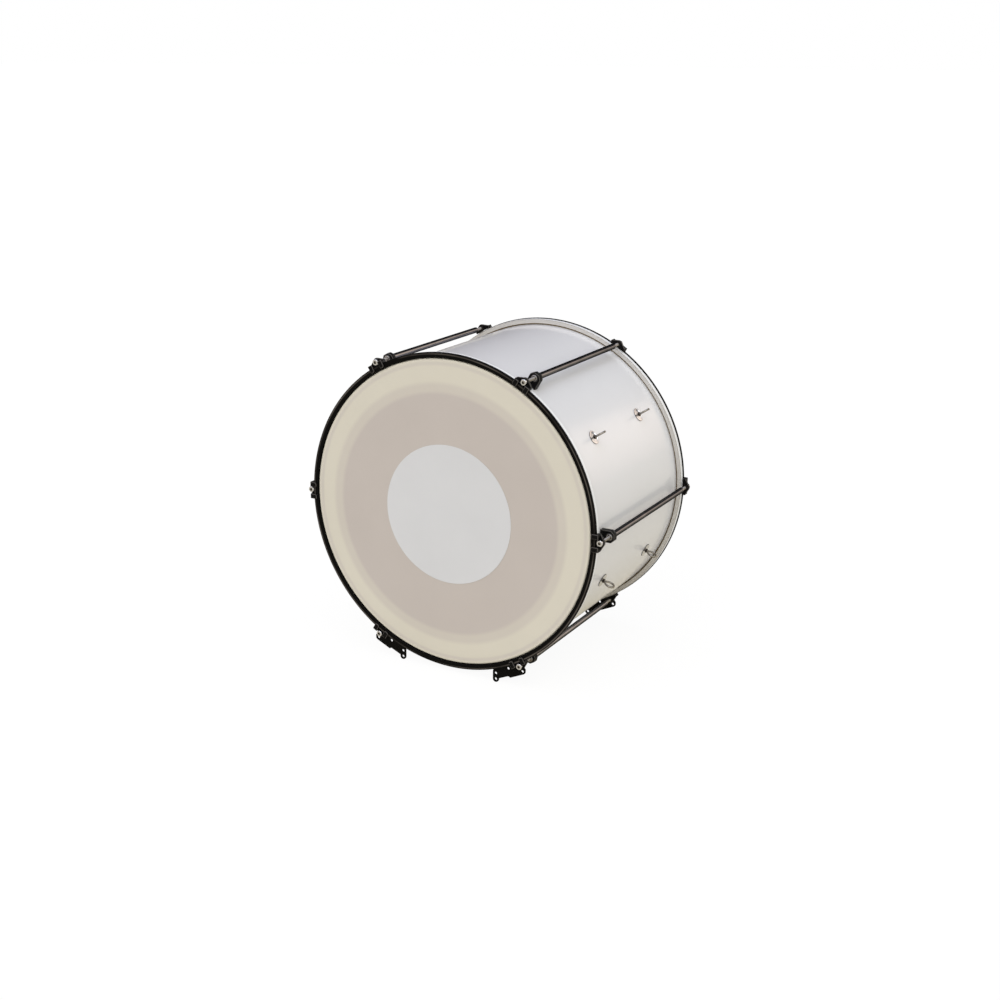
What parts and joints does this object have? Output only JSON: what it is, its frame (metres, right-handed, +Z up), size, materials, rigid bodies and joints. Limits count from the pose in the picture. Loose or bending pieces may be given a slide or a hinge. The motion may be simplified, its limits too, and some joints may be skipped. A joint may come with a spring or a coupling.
{
  "type": "marching bass drum",
  "caption": "Marching bass drum with a white cylindrical shell, a head at each end, black hoops drawn in by claws and tension bolts, strap eyes and flat floor brackets.",
  "frame": {"origin": "on the floor, below the middle of the drum", "axes": "+X to the drum's right, where the eye bolts are; +Y from the front head to the rear head; +Z up"},
  "size_m": [0.6664, 0.4248, 0.6429],
  "materials": {
    "shell_white": "white gloss wrap over ply",
    "head_film": "satin translucent polyester film over a cream ring",
    "head_dot": "satin film patch",
    "damping_felt": "soft felt",
    "flesh_hoop": "satin extruded",
    "hoop_black": "semi-gloss black powder coat",
    "claw_black": "semi-gloss black powder coat",
    "bracket_black": "satin black powder coat",
    "nickel": "bright nickel plate",
    "black_nickel": "polished black nickel plate",
    "standoff_black": "satin black nylon"
  },
  "bodies": {
    "drum": {"shell": "shell_white", "head_film_front": "head_film", "head_dot_front": "head_dot", "damping_ring_front": "damping_felt", "flesh_hoop_front": "flesh_hoop", "head_film_rear": "head_film", "head_dot_rear": "head_dot", "damping_ring_rear": "damping_felt", "flesh_hoop_rear": "flesh_hoop", "tension_tube_1": "black_nickel", "tension_tube_2": "black_nickel", "tension_tube_3": "black_nickel", "tension_tube_4": "black_nickel", "tension_tube_5": "black_nickel", "tension_tube_6": "black_nickel", "tube_standoff_1": "standoff_black", "tube_standoff_2": "standoff_black", "tube_standoff_3": "standoff_black", "tube_standoff_4": "standoff_black", "tube_standoff_5": "standoff_black", "tube_standoff_6": "standoff_black", "eye_bolt_upper_front": "nickel", "eye_rosette_upper_front": "nickel", "eye_bolt_upper_rear": "nickel", "eye_rosette_upper_rear": "nickel", "eye_bolt_lower_front": "nickel", "eye_rosette_lower_front": "nickel", "eye_bolt_lower_rear": "nickel", "eye_rosette_lower_rear": "nickel"},
    "front_hoop": {"counter_hoop_front": "hoop_black", "claw_front_1": "claw_black", "claw_front_2": "claw_black", "claw_front_3": "claw_black", "claw_front_4": "claw_black", "claw_front_5": "claw_black", "claw_front_6": "claw_black", "floor_bracket_front_right": "bracket_black", "floor_bracket_front_left": "bracket_black"},
    "rear_hoop": {"counter_hoop_rear": "hoop_black", "claw_rear_1": "claw_black", "claw_rear_2": "claw_black", "claw_rear_3": "claw_black", "claw_rear_4": "claw_black", "claw_rear_5": "claw_black", "claw_rear_6": "claw_black", "floor_bracket_rear_right": "bracket_black", "floor_bracket_rear_left": "bracket_black"},
    "front_bolt_1": {"tension_bolt_front_1": "nickel"},
    "front_bolt_2": {"tension_bolt_front_2": "nickel"},
    "front_bolt_3": {"tension_bolt_front_3": "nickel"},
    "front_bolt_4": {"tension_bolt_front_4": "nickel"},
    "front_bolt_5": {"tension_bolt_front_5": "nickel"},
    "front_bolt_6": {"tension_bolt_front_6": "nickel"},
    "rear_bolt_1": {"tension_bolt_rear_1": "nickel"},
    "rear_bolt_2": {"tension_bolt_rear_2": "nickel"},
    "rear_bolt_3": {"tension_bolt_rear_3": "nickel"},
    "rear_bolt_4": {"tension_bolt_rear_4": "nickel"},
    "rear_bolt_5": {"tension_bolt_rear_5": "nickel"},
    "rear_bolt_6": {"tension_bolt_rear_6": "nickel"}
  },
  "joints": [
    {"name": "front_hoop_slide", "type": "slide", "parent": "drum", "child": "front_hoop", "axis": [0, -1, 0], "range_m": [0, 0.01]},
    {"name": "rear_hoop_slide", "type": "slide", "parent": "drum", "child": "rear_hoop", "axis": [0, 1, 0], "range_m": [0, 0.01]},
    {"name": "front_bolt_1_turn", "type": "hinge", "parent": "front_hoop", "child": "front_bolt_1", "pos_m": [0.16185, -0.2, 0.6065], "axis": [0, -1, 0], "range_deg": [0, 3600]},
    {"name": "front_bolt_2_turn", "type": "hinge", "parent": "front_hoop", "child": "front_bolt_2", "pos_m": [0.3237, -0.2, 0.32617], "axis": [0, -1, 0], "range_deg": [0, 3600]},
    {"name": "front_bolt_3_turn", "type": "hinge", "parent": "front_hoop", "child": "front_bolt_3", "pos_m": [0.16185, -0.2, 0.04584], "axis": [0, -1, 0], "range_deg": [0, 3600]},
    {"name": "front_bolt_4_turn", "type": "hinge", "parent": "front_hoop", "child": "front_bolt_4", "pos_m": [-0.16185, -0.2, 0.04584], "axis": [0, -1, 0], "range_deg": [0, 3600]},
    {"name": "front_bolt_5_turn", "type": "hinge", "parent": "front_hoop", "child": "front_bolt_5", "pos_m": [-0.3237, -0.2, 0.32617], "axis": [0, -1, 0], "range_deg": [0, 3600]},
    {"name": "front_bolt_6_turn", "type": "hinge", "parent": "front_hoop", "child": "front_bolt_6", "pos_m": [-0.16185, -0.2, 0.6065], "axis": [0, -1, 0], "range_deg": [0, 3600]},
    {"name": "rear_bolt_1_turn", "type": "hinge", "parent": "rear_hoop", "child": "rear_bolt_1", "pos_m": [0.16185, 0.2, 0.6065], "axis": [0, 1, 0], "range_deg": [0, 3600]},
    {"name": "rear_bolt_2_turn", "type": "hinge", "parent": "rear_hoop", "child": "rear_bolt_2", "pos_m": [0.3237, 0.2, 0.32617], "axis": [0, 1, 0], "range_deg": [0, 3600]},
    {"name": "rear_bolt_3_turn", "type": "hinge", "parent": "rear_hoop", "child": "rear_bolt_3", "pos_m": [0.16185, 0.2, 0.04584], "axis": [0, 1, 0], "range_deg": [0, 3600]},
    {"name": "rear_bolt_4_turn", "type": "hinge", "parent": "rear_hoop", "child": "rear_bolt_4", "pos_m": [-0.16185, 0.2, 0.04584], "axis": [0, 1, 0], "range_deg": [0, 3600]},
    {"name": "rear_bolt_5_turn", "type": "hinge", "parent": "rear_hoop", "child": "rear_bolt_5", "pos_m": [-0.3237, 0.2, 0.32617], "axis": [0, 1, 0], "range_deg": [0, 3600]},
    {"name": "rear_bolt_6_turn", "type": "hinge", "parent": "rear_hoop", "child": "rear_bolt_6", "pos_m": [-0.16185, 0.2, 0.6065], "axis": [0, 1, 0], "range_deg": [0, 3600]}
  ],
  "couplings": [
    {"joint": "front_bolt_1_turn", "follows": "front_hoop_slide", "rad_per_m": 6283.2},
    {"joint": "front_bolt_2_turn", "follows": "front_hoop_slide", "rad_per_m": 6283.2},
    {"joint": "front_bolt_3_turn", "follows": "front_hoop_slide", "rad_per_m": 6283.2},
    {"joint": "front_bolt_4_turn", "follows": "front_hoop_slide", "rad_per_m": 6283.2},
    {"joint": "front_bolt_5_turn", "follows": "front_hoop_slide", "rad_per_m": 6283.2},
    {"joint": "front_bolt_6_turn", "follows": "front_hoop_slide", "rad_per_m": 6283.2},
    {"joint": "rear_bolt_1_turn", "follows": "rear_hoop_slide", "rad_per_m": 6283.2},
    {"joint": "rear_bolt_2_turn", "follows": "rear_hoop_slide", "rad_per_m": 6283.2},
    {"joint": "rear_bolt_3_turn", "follows": "rear_hoop_slide", "rad_per_m": 6283.2},
    {"joint": "rear_bolt_4_turn", "follows": "rear_hoop_slide", "rad_per_m": 6283.2},
    {"joint": "rear_bolt_5_turn", "follows": "rear_hoop_slide", "rad_per_m": 6283.2},
    {"joint": "rear_bolt_6_turn", "follows": "rear_hoop_slide", "rad_per_m": 6283.2}
  ]
}
